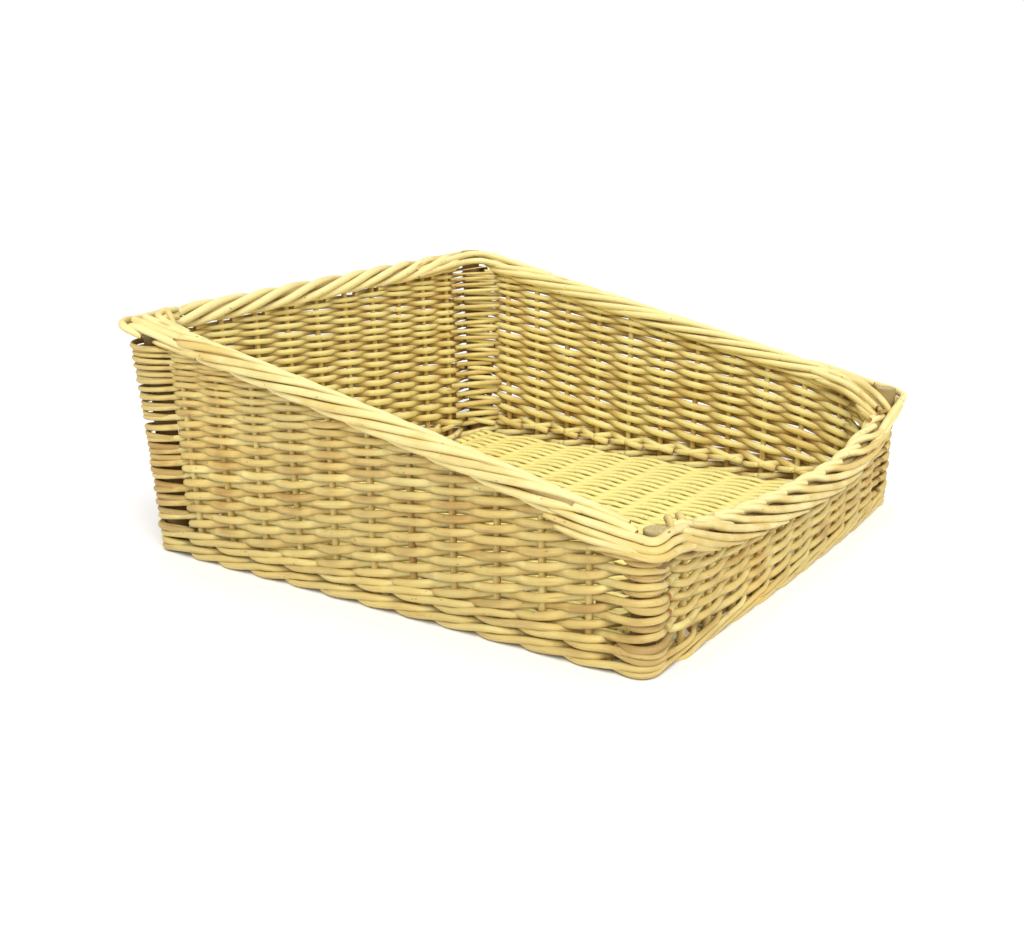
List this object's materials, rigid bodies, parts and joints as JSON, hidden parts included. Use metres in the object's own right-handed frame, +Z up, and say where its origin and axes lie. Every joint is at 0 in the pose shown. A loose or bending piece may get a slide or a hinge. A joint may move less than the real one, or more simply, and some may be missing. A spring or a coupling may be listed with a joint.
{
  "type": "display basket",
  "caption": "Low-fronted rectangular willow shop basket on corner posts, with a high back, sides that slope to a low, dipped front and an open top for goods.",
  "frame": {"origin": "on the surface that the basket stands on, under the middle of its outline", "axes": "+Z up; the low front faces -Y and the high back +Y; +X is on the right of someone who faces the front"},
  "size_m": [0.463, 0.4704, 0.195],
  "materials": {
    "post_willow": "thick round stick, sawn end, satin",
    "stake_willow": "peeled willow rod, satin",
    "weave_willow": "peeled willow rod, satin, with small knots",
    "wale_willow": "peeled willow rod, satin",
    "border_willow": "peeled willow rod, satin",
    "base_willow": "thin peeled willow rod, satin"
  },
  "bodies": {
    "root": {"border_back": "border_willow", "border_front": "border_willow", "border_left": "border_willow", "border_right": "border_willow", "post_back_left": "post_willow", "post_back_right": "post_willow", "post_front_left": "post_willow", "post_front_right": "post_willow", "stake_left_01": "stake_willow", "stake_left_02": "stake_willow", "stake_left_03": "stake_willow", "stake_left_04": "stake_willow", "stake_left_05": "stake_willow", "stake_left_06": "stake_willow", "stake_left_07": "stake_willow", "stake_left_08": "stake_willow", "stake_left_09": "stake_willow", "stake_left_10": "stake_willow", "stake_left_11": "stake_willow", "stake_right_01": "stake_willow", "stake_right_02": "stake_willow", "stake_right_03": "stake_willow", "stake_right_04": "stake_willow", "stake_right_05": "stake_willow", "stake_right_06": "stake_willow", "stake_right_07": "stake_willow", "stake_right_08": "stake_willow", "stake_right_09": "stake_willow", "stake_right_10": "stake_willow", "stake_right_11": "stake_willow", "stake_back_01": "stake_willow", "stake_back_02": "stake_willow", "stake_back_03": "stake_willow", "stake_back_04": "stake_willow", "stake_back_05": "stake_willow", "stake_back_06": "stake_willow", "stake_back_07": "stake_willow", "stake_back_08": "stake_willow", "stake_back_09": "stake_willow", "stake_back_10": "stake_willow", "stake_front_01": "stake_willow", "stake_front_02": "stake_willow", "stake_front_03": "stake_willow", "stake_front_04": "stake_willow", "stake_front_05": "stake_willow", "stake_front_06": "stake_willow", "stake_front_07": "stake_willow", "stake_front_08": "stake_willow", "stake_front_09": "stake_willow", "stake_front_10": "stake_willow", "wale_lower": "wale_willow", "wale_upper": "wale_willow", "weave_back": "weave_willow", "weave_front": "weave_willow", "weave_left": "weave_willow", "weave_right": "weave_willow", "woven_base": "base_willow"}
  },
  "joints": []
}
